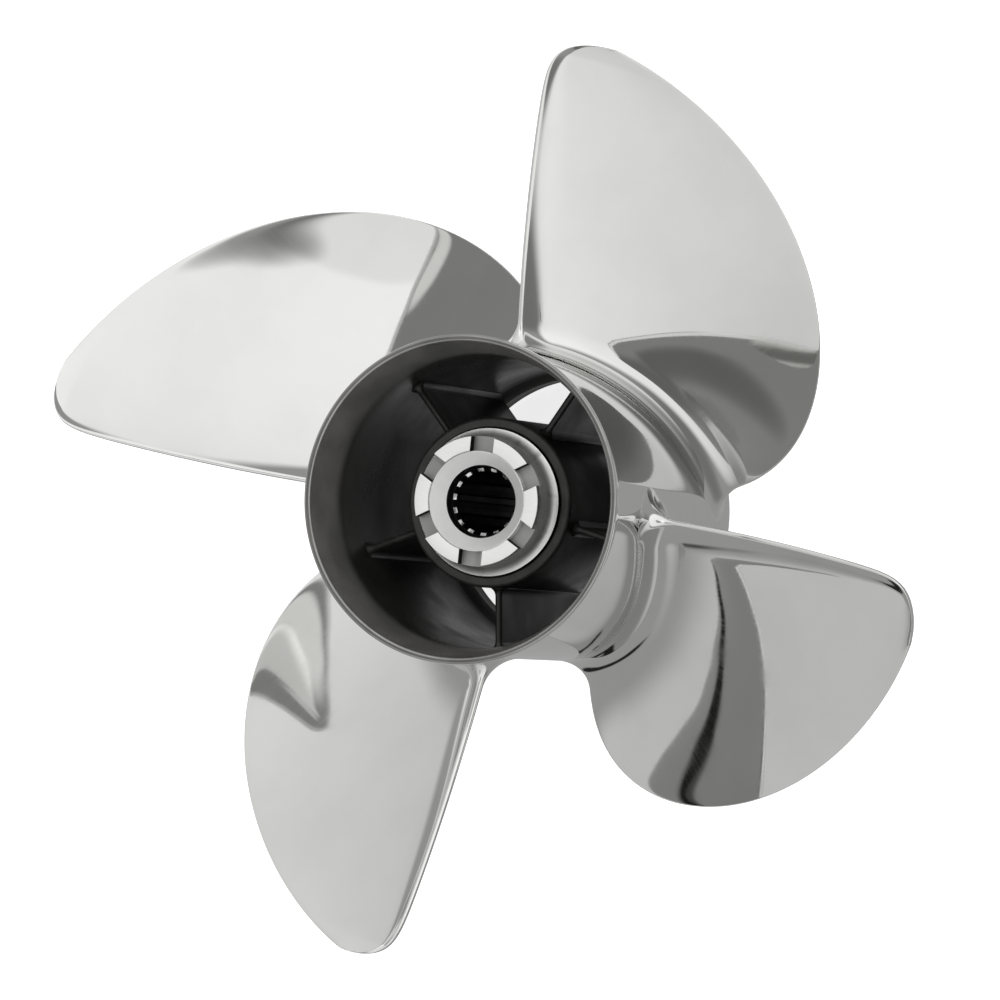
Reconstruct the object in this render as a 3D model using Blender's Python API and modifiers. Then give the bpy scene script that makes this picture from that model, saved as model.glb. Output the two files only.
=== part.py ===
"""Four-blade stainless outboard boat propeller with exhaust through the hub.

The propeller stands on the forward rim of its barrel, with the shaft axis on +Z
and the aft end up. The forward rim lies on z = 0 and blade 1 points its tip
along +X. All sizes are in metres and all angles in degrees.
"""

import math

import bmesh
import bpy
from mathutils import Matrix

# Overall sizes
TIP_RADIUS = 0.181
BLADE_COUNT = 4
BARREL_LENGTH = 0.158
SEAM = 0.0003
CUT_MARGIN = 0.001

# Barrel: the outer tube, with a flared aft lip and a narrower forward land
BARREL_OUTER_R = 0.060
BARREL_INNER_R = 0.0565
LIP_OUTER_R = 0.0632
LIP_INNER_R = 0.0604
OUTER_FLARE_LENGTH = 0.014
INNER_FLARE_LENGTH = 0.027
FLARE_POINTS = 5
LAND_INNER_R = 0.0535
LAND_LENGTH = 0.010
RIM_CHAMFER = 0.0012

# Inner hub tube on its radial ribs
HUB_OUTER_R = 0.0330
HUB_INNER_R = 0.0289
HUB_BOTTOM_Z = 0.010
HUB_TOP_Z = 0.122
RIB_COUNT = 5
RIB_FIRST_ANGLE = 54.0
RIB_THICKNESS = 0.0026
RIB_BOTTOM_Z = 0.012
RIB_TOP_Z = 0.112

# Drive parts inside the inner hub
SLEEVE_OUTER_R = 0.0194
SLEEVE_MOUTH_R = 0.0137
SLEEVE_BOTTOM_Z = 0.008
SLEEVE_TOP_Z = 0.138
MOUTH_DEPTH = 0.0067
SPLINE_COUNT = 15
SPLINE_FIRST_ANGLE = 14.0
SPLINE_TIP_R = 0.0120
SPLINE_ROOT_R = 0.0131
SPLINE_SPACE_WIDTH = 0.0028
SPLINE_TOP_Z = 0.127
SPLINE_BEVEL = 0.002
COLLAR_BOTTOM_Z = 0.111
COLLAR_SHOULDER_Z = 0.1235
COLLAR_NECK_Z = 0.127
COLLAR_FACE_R = 0.0251
COVE_STEPS = 6
SLOT_COUNT = 6
SLOT_WIDTH = 0.0092
SLOT_DEPTH = 0.0043
SLOT_FIRST_ANGLE = 11.5
BUSHING_BOTTOM_Z = 0.0115

# Blade planform, measured around the barrel from the line through the tip
LEADING_SWEEP = 65.6
LEADING_POWER = 1.97
LEADING_ROUND = 0.88
TRAILING_LEAD = 12.0
TRAILING_TAPER = 4.6
TIP_ROUND_POWER = 23.0

# Blade surface: pitch, rake, camber and cup
PITCH_ROOT = 0.408
PITCH_TIP = 0.528
PITCH_POWER = 3.65
RAKE_ROOT_Z = BARREL_LENGTH - 0.0518
RAKE_RISE = 0.0393
CAMBER_RATIO = 0.022
CUP_DEPTH = 0.0025
CUP_START = 0.9
DEEPEST_CUP_SHARE_OF_CHORD = 0.05

# Blade thickness
ROOT_THICKNESS = 0.0095
TIP_THICKNESS = 0.0030
THICKNESS_POWER = 0.6
BULGE_POWER = 0.8
THICKEST_SHARE_OF_CHORD = 0.35
LEADING_EDGE_THICKNESS = 0.0010
TRAILING_EDGE_THICKNESS = 0.0026
ROOT_FILLET_R = 0.012

# Mesh fineness
ROUND_STEPS = 80
FILLET_STATIONS = (0.0, 0.0007, 0.002, 0.0042, 0.0075)
OUTER_STATIONS = 17
LAST_STATION_SHARE = 0.985
CHORD_POINTS = 16
ROOT_CAP_ROWS = 6

# Surface colours: red, green, blue, roughness, metallic
FINISHES = {
    "polished_stainless": (0.62, 0.62, 0.61, 0.12, 1.0),
    "cast_stainless": (0.16, 0.16, 0.15, 0.55, 1.0),
    "machined_steel": (0.70, 0.70, 0.69, 0.30, 1.0),
    "bushing_rubber": (0.03, 0.03, 0.03, 0.85, 0.0),
}


def clear_scene():
    for obj in list(bpy.data.objects):
        bpy.data.objects.remove(obj, do_unlink=True)


def new_collection(name):
    collection = bpy.data.collections.new(name)
    bpy.context.scene.collection.children.link(collection)
    return collection


def finish_material(name):
    material = bpy.data.materials.get(name)
    if material is None:
        red, green, blue, roughness, metallic = FINISHES[name]
        material = bpy.data.materials.new(name)
        material.use_nodes = True
        shader = material.node_tree.nodes["Principled BSDF"]
        shader.inputs["Base Color"].default_value = (red, green, blue, 1.0)
        shader.inputs["Roughness"].default_value = roughness
        shader.inputs["Metallic"].default_value = metallic
    return material


def add_object(name, mesh, collection, finish=None):
    obj = bpy.data.objects.new(name, mesh)
    collection.objects.link(obj)
    if finish:
        mesh.materials.append(finish_material(finish))
    return obj


def mesh_from_bmesh(name, bm):
    bmesh.ops.recalc_face_normals(bm, faces=bm.faces)
    mesh = bpy.data.meshes.new(name)
    bm.to_mesh(mesh)
    bm.free()
    return mesh


def turned_part(name, profile, collection, finish):
    """Spin a closed (radius, height) profile around +Z with the Screw modifier."""
    bm = bmesh.new()
    ring = [bm.verts.new((radius, 0.0, height)) for radius, height in profile]
    for start, end in zip(ring, ring[1:] + ring[:1]):
        bm.edges.new((start, end))
    mesh = bpy.data.meshes.new(name)
    bm.to_mesh(mesh)
    bm.free()
    obj = add_object(name, mesh, collection, finish)
    screw = obj.modifiers.new("turn", "SCREW")
    screw.axis = "Z"
    screw.steps = ROUND_STEPS
    screw.render_steps = ROUND_STEPS
    screw.use_merge_vertices = True
    screw.merge_threshold = 0.00001
    return obj


def subtract(obj, cutter):
    boolean = obj.modifiers.new("cut", "BOOLEAN")
    boolean.operation = "DIFFERENCE"
    boolean.solver = "EXACT"
    boolean.object = cutter
    cutter.hide_render = True
    cutter.display_type = "WIRE"


def box_ring(name, count, first_angle, inner_r, outer_r, width, low_z, high_z, collection):
    """A ring of radial boxes in one mesh, used as a cutter."""
    bm = bmesh.new()
    centre_r = (inner_r + outer_r) / 2
    for index in range(count):
        turn = Matrix.Rotation(math.radians(first_angle + index * 360 / count), 4, "Z")
        shift = Matrix.Translation((centre_r, 0.0, (low_z + high_z) / 2))
        size = Matrix.Diagonal((outer_r - inner_r, width, high_z - low_z, 1.0))
        bmesh.ops.create_cube(bm, size=1.0, matrix=turn @ shift @ size)
    return add_object(name, mesh_from_bmesh(name, bm), collection)


def arc_points(centre_r, centre_z, radius, start, end, count):
    """Points of a (radius, height) arc from one angle to another."""
    points = []
    for index in range(count + 1):
        angle = math.radians(start + (end - start) * index / count)
        points.append((centre_r + radius * math.cos(angle), centre_z + radius * math.sin(angle)))
    return points


def flare_points(tube_r, lip_r, length, top_z):
    """Points from the lip down to the straight tube, along a curve that starts tangent to the tube."""
    points = []
    for index in range(1, FLARE_POINTS + 1):
        height_share = 1 - index / FLARE_POINTS
        points.append((tube_r + (lip_r - tube_r) * height_share ** 2, top_z - length * (1 - height_share)))
    return points


def build_barrel(collection):
    lip_r = (LIP_OUTER_R - LIP_INNER_R) / 2
    lip_centre_z = BARREL_LENGTH - lip_r
    lip = arc_points(LIP_INNER_R + lip_r, lip_centre_z, lip_r, 180, 0, 6)
    outer_flare = flare_points(BARREL_OUTER_R, LIP_OUTER_R, OUTER_FLARE_LENGTH - lip_r, lip_centre_z)
    inner_flare = flare_points(BARREL_INNER_R, LIP_INNER_R, INNER_FLARE_LENGTH - lip_r, lip_centre_z)
    profile = lip + outer_flare + [
        (BARREL_OUTER_R, RIM_CHAMFER),
        (BARREL_OUTER_R - RIM_CHAMFER, 0.0),
        (LAND_INNER_R + RIM_CHAMFER, 0.0),
        (LAND_INNER_R, RIM_CHAMFER),
        (LAND_INNER_R, LAND_LENGTH),
        (BARREL_INNER_R, LAND_LENGTH + 2 * (BARREL_INNER_R - LAND_INNER_R)),
    ] + list(reversed(inner_flare))
    return turned_part("hub_barrel", profile, collection, "polished_stainless")


def build_inner_hub(collection):
    chamfer = RIM_CHAMFER / 2
    profile = [
        (HUB_INNER_R, HUB_TOP_Z),
        (HUB_OUTER_R - chamfer, HUB_TOP_Z),
        (HUB_OUTER_R, HUB_TOP_Z - chamfer),
        (HUB_OUTER_R, HUB_BOTTOM_Z + chamfer),
        (HUB_OUTER_R - chamfer, HUB_BOTTOM_Z),
        (HUB_INNER_R, HUB_BOTTOM_Z),
    ]
    return turned_part("inner_hub", profile, collection, "cast_stainless")


def build_ribs(collection):
    """Radial plates that carry the inner hub in the barrel."""
    inner_r = HUB_OUTER_R + SEAM
    land_top = LAND_LENGTH + 2 * (BARREL_INNER_R - LAND_INNER_R)
    outline = [
        (inner_r, RIB_BOTTOM_Z),
        (LAND_INNER_R - 2 * SEAM, RIB_BOTTOM_Z),
        (BARREL_INNER_R - 2 * SEAM, land_top + SEAM),
        (BARREL_INNER_R - 2 * SEAM, RIB_TOP_Z),
        (inner_r, RIB_TOP_Z),
    ]
    for index in range(RIB_COUNT):
        bm = bmesh.new()
        corners = [bm.verts.new((radius, -RIB_THICKNESS / 2, height)) for radius, height in outline]
        face = bm.faces.new(corners)
        extruded = bmesh.ops.extrude_face_region(bm, geom=[face])
        side = [item for item in extruded["geom"] if isinstance(item, bmesh.types.BMVert)]
        bmesh.ops.translate(bm, verts=side, vec=(0.0, RIB_THICKNESS, 0.0))
        name = f"rib_{index + 1}"
        rib = add_object(name, mesh_from_bmesh(name, bm), collection, "cast_stainless")
        rib.rotation_euler.z = math.radians(RIB_FIRST_ANGLE + index * 360 / RIB_COUNT)


def build_bushing(collection):
    inner_r = SLEEVE_OUTER_R + SEAM
    outer_r = HUB_INNER_R - SEAM
    top_z = COLLAR_BOTTOM_Z - SEAM
    profile = [
        (inner_r, top_z),
        (outer_r, top_z),
        (outer_r, BUSHING_BOTTOM_Z),
        (inner_r, BUSHING_BOTTOM_Z),
    ]
    return turned_part("rubber_bushing", profile, collection, "bushing_rubber")


def build_sleeve(collection, cutters):
    """Splined sleeve that slides over the propeller shaft."""
    chamfer = RIM_CHAMFER / 2
    profile = [
        (SLEEVE_OUTER_R - chamfer / 2, SLEEVE_TOP_Z),
        (SLEEVE_OUTER_R, SLEEVE_TOP_Z - chamfer / 2),
        (SLEEVE_OUTER_R, SLEEVE_BOTTOM_Z + chamfer),
        (SLEEVE_OUTER_R - chamfer, SLEEVE_BOTTOM_Z),
        (SPLINE_TIP_R, SLEEVE_BOTTOM_Z),
        (SPLINE_TIP_R, SPLINE_TOP_Z - SPLINE_BEVEL),
        (SLEEVE_MOUTH_R, SPLINE_TOP_Z),
        (SLEEVE_MOUTH_R, SLEEVE_TOP_Z - MOUTH_DEPTH),
    ]
    sleeve = turned_part("spline_sleeve", profile, collection, "machined_steel")
    spaces = box_ring(
        "spline_spaces", SPLINE_COUNT, SPLINE_FIRST_ANGLE, SPLINE_TIP_R - CUT_MARGIN, SPLINE_ROOT_R,
        SPLINE_SPACE_WIDTH, SLEEVE_BOTTOM_Z - CUT_MARGIN, SPLINE_TOP_Z + CUT_MARGIN, cutters)
    subtract(sleeve, spaces)


def cove_points(top_r, top_z, foot_r, foot_z):
    """Quarter ellipse, hollow outward, from an upright neck down to a level foot."""
    points = []
    for index in range(COVE_STEPS + 1):
        angle = math.pi / 2 * index / COVE_STEPS
        radius = foot_r - (foot_r - top_r) * math.cos(angle)
        points.append((radius, top_z - (top_z - foot_z) * math.sin(angle)))
    return points


def build_collar(collection, cutters):
    """Collar with a castellated aft face, where the nut washer seats, and a cove down to its shoulder."""
    inner_r = SLEEVE_OUTER_R + SEAM
    outer_r = HUB_INNER_R - SEAM
    chamfer = RIM_CHAMFER / 3
    profile = [
        (inner_r, SLEEVE_TOP_Z),
        (COLLAR_FACE_R - chamfer, SLEEVE_TOP_Z),
        (COLLAR_FACE_R, SLEEVE_TOP_Z - chamfer),
    ]
    profile += cove_points(COLLAR_FACE_R, COLLAR_NECK_Z, outer_r, COLLAR_SHOULDER_Z)
    profile += [
        (outer_r, COLLAR_BOTTOM_Z),
        (inner_r, COLLAR_BOTTOM_Z),
    ]
    collar = turned_part("castle_collar", profile, collection, "machined_steel")
    slots = box_ring(
        "collar_slots", SLOT_COUNT, SLOT_FIRST_ANGLE, inner_r - CUT_MARGIN, outer_r,
        SLOT_WIDTH, SLEEVE_TOP_Z - SLOT_DEPTH, SLEEVE_TOP_Z + CUT_MARGIN, cutters)
    subtract(collar, slots)


def blade_edges(radius):
    """Leading and trailing angle of the blade at a radius, and its reference angle."""
    span = (radius - BARREL_OUTER_R) / (TIP_RADIUS - BARREL_OUTER_R)
    reference = TRAILING_LEAD - TRAILING_TAPER * span
    leading = -LEADING_SWEEP * (1 - span ** LEADING_POWER) ** LEADING_ROUND
    trailing = reference * math.sqrt(1 - span ** TIP_ROUND_POWER)
    return span, leading, trailing, reference


def half_thickness(chord_place, span, chord):
    """Half the blade's thickness at a place along its chord, from 0 at the leading edge to 1."""
    full = ROOT_THICKNESS + (TIP_THICKNESS - ROOT_THICKNESS) * span ** THICKNESS_POWER
    edge = LEADING_EDGE_THICKNESS + (TRAILING_EDGE_THICKNESS - LEADING_EDGE_THICKNESS) * chord_place
    bulge = (4 * chord_place * (1 - chord_place)) ** BULGE_POWER
    thickness = min(edge + (full - edge) * bulge, THICKEST_SHARE_OF_CHORD * chord)
    return thickness / 2


def mean_offset(chord_place, chord):
    """How far the blade's middle surface lies forward of its chord."""
    camber = CAMBER_RATIO * chord * 4 * chord_place * (1 - chord_place)
    if chord_place < CUP_START:
        cup = chord_place / CUP_START
    else:
        cup = 1 - ((chord_place - CUP_START) / (1 - CUP_START)) ** 2
    return camber + min(CUP_DEPTH, DEEPEST_CUP_SHARE_OF_CHORD * chord) * cup


def root_fillet(radius):
    """Extra half thickness where the blade flows into the barrel."""
    height = radius - BARREL_OUTER_R
    if height >= ROOT_FILLET_R:
        return 0.0
    return ROOT_FILLET_R - math.sqrt(ROOT_FILLET_R ** 2 - (ROOT_FILLET_R - height) ** 2)


def blade_section(radius):
    """Closed loop of points on the cylinder of this radius."""
    span, leading, trailing, reference = blade_edges(radius)
    pitch = PITCH_ROOT + (PITCH_TIP - PITCH_ROOT) * span ** PITCH_POWER
    slope = math.atan2(pitch, 2 * math.pi * radius)
    along = (math.cos(slope), math.sin(slope))
    aft = (-math.sin(slope), math.cos(slope))
    chord = math.radians(trailing - leading) * radius / math.cos(slope)
    fillet = root_fillet(radius)
    rake_z = RAKE_ROOT_Z + RAKE_RISE * span

    def point(distance, offset):
        """A place along the chord and aft of it, wrapped on to the cylinder."""
        angle = math.radians(leading) + (distance * along[0] + offset * aft[0]) / radius
        start_z = rake_z + pitch * (leading - reference) / 360
        height = start_z + distance * along[1] + offset * aft[1]
        return (radius * math.cos(angle), radius * math.sin(angle), height)

    aft_side, forward_side = [], []
    steps = [(1 - math.cos(math.pi * index / CHORD_POINTS)) / 2 for index in range(CHORD_POINTS + 1)]
    for place in steps:
        reach = place * (chord + 2 * fillet) - fillet
        half = half_thickness(place, span, chord) + fillet * math.sqrt(4 * place * (1 - place))
        aft_side.append(point(reach, half - mean_offset(place, chord)))
        forward_side.append(point(reach, -half - mean_offset(place, chord)))
    return aft_side + list(reversed(forward_side))


def span_radii():
    """Blade stations, closer together at the root fillet and at the tip."""
    fillet_top = BARREL_OUTER_R + ROOT_FILLET_R
    radii = [BARREL_OUTER_R + SEAM + rise for rise in FILLET_STATIONS]
    for index in range(OUTER_STATIONS + 1):
        share = math.sin(index / OUTER_STATIONS * math.pi / 2 * LAST_STATION_SHARE)
        radii.append(fillet_top + (TIP_RADIUS - fillet_top) * share)
    return radii


def close_section(bm, ring, radius, rows):
    """Close a section loop with strips that follow the cylinder of its radius."""
    half = len(ring) // 2
    near, far = ring[:half], list(reversed(ring[half:]))
    bands = [near[1:-1]]
    for row in range(1, rows):
        share = row / rows
        band = []
        for aft, forward in zip(near[1:-1], far[1:-1]):
            start = math.atan2(aft.co.y, aft.co.x)
            end = math.atan2(forward.co.y, forward.co.x)
            angle = start + (end - start) * share
            height = aft.co.z + (forward.co.z - aft.co.z) * share
            band.append(bm.verts.new((radius * math.cos(angle), radius * math.sin(angle), height)))
        bands.append(band)
    bands.append(far[1:-1])
    for lower, upper in zip(bands, bands[1:]):
        for index in range(len(lower) - 1):
            bm.faces.new((lower[index], lower[index + 1], upper[index + 1], upper[index]))
    for place in (0, -1):
        bm.faces.new([near[place], *(band[place] for band in bands), far[place]])


def build_blades(collection):
    """Loft the cylindrical sections from the root to the tip."""
    radii = span_radii()
    loops = [blade_section(radius) for radius in radii]
    for index in range(BLADE_COUNT):
        bm = bmesh.new()
        rings = [[bm.verts.new(place) for place in loop] for loop in loops]
        for lower, upper in zip(rings, rings[1:]):
            for side in range(len(lower)):
                after = (side + 1) % len(lower)
                bm.faces.new((lower[side], lower[after], upper[after], upper[side]))
        close_section(bm, rings[0], radii[0], ROOT_CAP_ROWS)
        close_section(bm, rings[-1], radii[-1], 1)
        bmesh.ops.triangulate(bm, faces=bm.faces)
        name = f"blade_{index + 1}"
        blade = add_object(name, mesh_from_bmesh(name, bm), collection, "polished_stainless")
        blade.rotation_euler.z = math.radians(-index * 360 / BLADE_COUNT)


def build_propeller():
    clear_scene()
    parts = new_collection("outboard_propeller")
    cutters = new_collection("cutters")
    build_barrel(parts)
    build_inner_hub(parts)
    build_ribs(parts)
    build_bushing(parts)
    build_sleeve(parts, cutters)
    build_collar(parts, cutters)
    build_blades(parts)


build_propeller()
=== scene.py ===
"""Looks of a four-blade stainless outboard boat propeller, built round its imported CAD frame.

The shaft axis is +Z with the aft end up. Sizes are in metres and angles in degrees.
"""

import math

import bmesh
import bpy
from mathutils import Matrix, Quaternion, Vector


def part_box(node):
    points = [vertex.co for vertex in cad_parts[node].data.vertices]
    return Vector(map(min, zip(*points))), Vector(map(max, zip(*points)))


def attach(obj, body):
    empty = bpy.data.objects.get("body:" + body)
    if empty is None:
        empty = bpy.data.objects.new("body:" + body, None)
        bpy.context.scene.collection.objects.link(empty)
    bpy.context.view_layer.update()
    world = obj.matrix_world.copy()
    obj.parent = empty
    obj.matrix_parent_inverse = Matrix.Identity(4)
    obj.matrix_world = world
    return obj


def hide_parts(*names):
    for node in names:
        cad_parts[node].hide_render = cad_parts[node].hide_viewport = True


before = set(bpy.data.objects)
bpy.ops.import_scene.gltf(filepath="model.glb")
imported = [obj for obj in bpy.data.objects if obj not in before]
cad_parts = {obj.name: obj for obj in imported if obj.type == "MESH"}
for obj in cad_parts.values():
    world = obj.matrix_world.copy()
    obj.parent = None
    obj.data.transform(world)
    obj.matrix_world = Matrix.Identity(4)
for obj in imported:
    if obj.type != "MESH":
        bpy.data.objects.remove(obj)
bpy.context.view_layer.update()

# Sizes read from the frame
BARREL_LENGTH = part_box("hub_barrel")[1].z
LIP_OUTER_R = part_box("hub_barrel")[1].x
HUB_OUTER_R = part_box("inner_hub")[1].x
HUB_BOTTOM_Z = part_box("inner_hub")[0].z
HUB_TOP_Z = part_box("inner_hub")[1].z
COLLAR_OUTER_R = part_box("castle_collar")[1].x
COLLAR_BOTTOM_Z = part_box("castle_collar")[0].z
COLLAR_TOP_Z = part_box("castle_collar")[1].z
SLEEVE_OUTER_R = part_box("spline_sleeve")[1].x
SLEEVE_BOTTOM_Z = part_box("spline_sleeve")[0].z
BUSHING_OUTER_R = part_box("rubber_bushing")[1].x
BUSHING_BOTTOM_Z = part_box("rubber_bushing")[0].z
BUSHING_TOP_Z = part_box("rubber_bushing")[1].z
RIB_BOTTOM_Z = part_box("rib_1")[0].z
RIB_TOP_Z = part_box("rib_1")[1].z
BLADE_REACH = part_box("blade_1")[1].x

# Barrel
BARREL_OUTER_R = 0.060
BARREL_INNER_R = 0.0565
LIP_INNER_R = 0.0604
OUTER_FLARE_LENGTH = 0.014
INNER_FLARE_LENGTH = 0.027
LAND_INNER_R = 0.0535
LAND_LENGTH = 0.010
RIM_ROUND = 0.0012
# Lip bands: the crest takes the near-black inside finish as painted shade, and the two edges take lighter
# metal as painted highlights
LIP_SHADED_CREST = (-0.30, 0.35)
LIP_HIGHLIGHT_BAND = (-0.75, 0.85)

# Inner hub, ribs, collar and sleeve
HUB_INNER_R = 0.0289
HUB_TOP_ROUND = 0.0014
RIB_COUNT = 5
RIB_FIRST_ANGLE = 54.0
RIB_THICKNESS = 0.0026
RIB_FILLET = 0.003
RIB_LEAST_GAP = 0.0002
WALL_BITE = 0.0005
MOAT_MARGIN = 0.0006
MOAT_FLATNESS = 0.4
COLLAR_FACE_R = 0.0251
COLLAR_SHOULDER_Z = 0.1235
COLLAR_NECK_Z = 0.127
COLLAR_FOOT_DROP = 0.0006
COLLAR_EDGE = 0.00025
COVE_END_ANGLE = 70
SLOT_COUNT = 6
SLOT_WIDTH = 0.0092
SLOT_DEPTH = 0.0043
SLOT_FIRST_ANGLE = 11.5
SLEEVE_SINK = 0.0008
SLEEVE_MOUTH_R = 0.0137
MOUTH_DEPTH = 0.0067
MOUTH_STEP = 0.0003
SLEEVE_EDGE = 0.0004
SPLINE_COUNT = 15
SPLINE_FIRST_ANGLE = 2.0
SPLINE_TIP_R = 0.0120
SPLINE_ROOT_R = 0.0131
SPLINE_TOP_Z = 0.127
SPLINE_TOP_STEP = 0.0002
SPLINE_TOP_SLOPE = 0.0008
SPLINE_FOOT_SLOPE = 0.001
SPLINE_FOOT_DEPTH = 0.6
TOOTH_FLAT = 0.42
TOOTH_FLANK = 0.16

# Blades: planform, surface and thickness, as in the part
TIP_RADIUS = 0.181
BLADE_COUNT = 4
LEADING_SWEEP = 65.6
LEADING_POWER = 1.97
LEADING_ROUND = 0.88
TRAILING_LEAD = 12.0
TRAILING_TAPER = 4.6
TIP_ROUND_POWER = 23.0
PITCH_ROOT = 0.408
PITCH_TIP = 0.528
PITCH_POWER = 3.65
RAKE_ROOT_Z = BARREL_LENGTH - 0.0518
RAKE_RISE = 0.0393
CAMBER_RATIO = 0.022
CUP_DEPTH = 0.0025
CUP_START = 0.9
DEEPEST_CUP_SHARE_OF_CHORD = 0.05
ROOT_THICKNESS = 0.0095
TIP_THICKNESS = 0.0030
THICKNESS_POWER = 0.6
BULGE_POWER = 0.8
THICKEST_SHARE_OF_CHORD = 0.35
LEADING_EDGE_THICKNESS = 0.0010
TRAILING_EDGE_THICKNESS = 0.0026
ROOT_FILLET_R = 0.012
SKIN_LIFT = 0.00001

# Mesh fineness
ROUND_STEPS = 240
ARC_STEPS = 10
EDGE_STEPS = 4
FLARE_STEPS = 24
RIB_END_STEPS = 12
STEPS_PER_SPLINE = 24
TOOTH_STEPS = 24
SLOT_STEPS = 12
COVE_STEPS = 20
FILLET_STATIONS = 16
SPAN_STATIONS = 74
CHORD_POINTS = 72
CAP_ROWS = 6
SUPPORT_NEAR = 0.0006
SUPPORT_LONGEST = 0.004
MERGE_DISTANCE = 0.0000005
SHARP_ANGLE = 40.0
SLEEVE_SHARP_ANGLE = 25.0
BLADE_SHARP_ANGLE = 60.0

# Finishes
WEAR_LAYER = "edge_wear"
WEAR_SCALE = 0.001
WEAR_LIMIT = 2.0
WEAR_START = 0.15
WEAR_FULL = 0.6
POLISHED_COLOUR = (0.69, 0.69, 0.68)
POLISHED_SHADE = (0.665, 0.665, 0.652)
WORN_EDGE_COLOUR = (0.78, 0.78, 0.77)
WAVE_DEPTH = 0.00012
BUFFING_DEPTH = 0.0000006
CASTING_DARK = (0.007, 0.007, 0.0065)
CASTING_LIGHT = (0.021, 0.0205, 0.019)
SOOT_COLOUR = (0.004, 0.004, 0.004)
RUBBED_COLOUR = (0.30, 0.295, 0.285)
# Gloss of the near-black casting: it falls with depth as painted shade, and stays up deeper on the sides
# in line with the light as painted light
SOCKET_GLOSS_SHARE = 0.4
SHADED_GLOSS_SHARE = 0.08
DEEP_START_Z = 0.085
DEEP_END_Z = 0.128
LIT_SIDE = (17, 0)
LIT_START_Z = 0.005
LIT_END_Z = 0.070
MOUTH_START_Z = 0.132
MOUTH_FULL_Z = 0.141
MOUTH_DARK = (0.076, 0.075, 0.071)
MOUTH_LIGHT = (0.118, 0.116, 0.110)
# Lighter metal on the lip's two edges, as painted highlights
LIP_HIGHLIGHT_DARK = (0.24, 0.24, 0.23)
LIP_HIGHLIGHT_LIGHT = (0.38, 0.38, 0.37)
SLOT_DARK = (0.24, 0.24, 0.235)
SLOT_LIGHT = (0.36, 0.36, 0.35)
# Near-black for the bore, the slot walls and between the spline ends' glints, as painted shade
PAINTED_SHADE_DARK = (0.001, 0.001, 0.001)
PAINTED_SHADE_LIGHT = (0.004, 0.004, 0.004)
COVE_DARK = (0.64, 0.64, 0.63)
COVE_LIGHT = (0.78, 0.78, 0.77)
TURNED_COLOUR = (0.90, 0.90, 0.89)
TURNED_SHADE = (0.80, 0.80, 0.79)
TURNED_METAL = 0.3
GROUND_COLOUR = (0.76, 0.76, 0.75)
RUBBER_COLOUR = (0.020, 0.020, 0.021)
RUBBER_BLOOM = (0.050, 0.050, 0.048)

# Camera, solved for the photograph's view
CAMERA_TARGET = (0.0013, 0.0003, 0.1094)
CAMERA_TILT = 18.89
CAMERA_AZIMUTH = -78.35
CAMERA_ROLL = 84.05
CAMERA_DISTANCE = 2.9065
CAMERA_LENS = 269.9
CAMERA_SENSOR = 36.0
CAMERA_CLIP_END = 100

# Pale floor under the part
FLOOR_HALF_SIZE = 12.0
FLOOR_COLOUR = (0.85, 0.85, 0.85)
FLOOR_ROUGHNESS = 0.6
FLOOR_LIGHT = 0.8

# Studio sky: brightness below and above the horizon, the side on which the sky is brighter, the
# tilted horizon, and round patches given as azimuth, elevation, core angle, edge angle and gain
FLOOR_GLOW = 0.39
SKY_GLOW = 0.95
SKY_LEAN = 0.30
BRIGHT_SIDE = (305, 10)
HORIZON_UP = (75, 81)
HORIZON_LOW = -0.06
HORIZON_HIGH = 0.12
DARKEST_SKY = 0.02
SKY_PATCHES = (
    (265, -10, 6, 38, -0.17),
    (63, -21, 6, 13, 0.80),
    (79, -25.5, 7, 9.5, 0.62),
    (94, -24.5, 3, 7, 0.50),
    (146, -10, 1.5, 5.2, -0.42),
    (144.5, -15, 1.5, 5.2, -0.34),
    (143, -20, 1.5, 5.8, -0.34),
    (141, -25, 1.5, 6.2, -0.34),
    (141.5, -30, 1.5, 6.2, -0.34),
    (142, -35, 1.5, 5.6, -0.30),
    (306, 55.5, 1, 6, -0.78),
    (291, 51, 8, 10.5, -0.16),
    (100, 80, 15, 40, 0.15),
    (281.65, 71, 8, 18.5, -0.80),
    (161, 56, 6, 20, -0.35),
    (13, 65, 6, 22, 0.20),
)


# Mesh helpers

def arc_points(centre_r, centre_z, radius, start, end, count=ARC_STEPS):
    """Points of a (radius, height) arc from one angle to another."""
    points = []
    for index in range(count + 1):
        angle = math.radians(start + (end - start) * index / count)
        points.append((centre_r + radius * math.cos(angle), centre_z + radius * math.sin(angle)))
    return points


def add_rings(bm, rings, closed=True):
    """Join rings of equal length with quads; a closed loft also joins the last ring to the first."""
    verts = [[bm.verts.new(place) for place in ring] for ring in rings]
    pairs = list(zip(verts, verts[1:]))
    if closed:
        pairs.append((verts[-1], verts[0]))
    for lower, upper in pairs:
        for side in range(len(lower)):
            after = (side + 1) % len(lower)
            bm.faces.new((lower[side], lower[after], upper[after], upper[side]))
    return verts


def turned(profile, angle):
    """The profile, given as (radius, height), at an angle round the shaft axis."""
    return [(radius * math.cos(angle), radius * math.sin(angle), height) for radius, height in profile]


def turned_rings(profile):
    """The profile at each step round the shaft axis."""
    return [turned(profile, 2 * math.pi * step / ROUND_STEPS) for step in range(ROUND_STEPS)]


def wrapped(section, radius, turn):
    """A section, given as (angle, height), on the cylinder of this radius, turned by an angle."""
    return [(radius * math.cos(turn + angle), radius * math.sin(turn + angle), height)
            for angle, height in section]


def with_support(profile):
    """The closed profile with extra points near both ends of its long straight runs."""
    points = []
    for index, (radius, height) in enumerate(profile):
        points.append((radius, height))
        next_r, next_z = profile[(index + 1) % len(profile)]
        length = math.hypot(next_r - radius, next_z - height)
        if length > SUPPORT_LONGEST:
            for share in (SUPPORT_NEAR / length, 1 - SUPPORT_NEAR / length):
                points.append((radius + (next_r - radius) * share, height + (next_z - height) * share))
    return points


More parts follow.
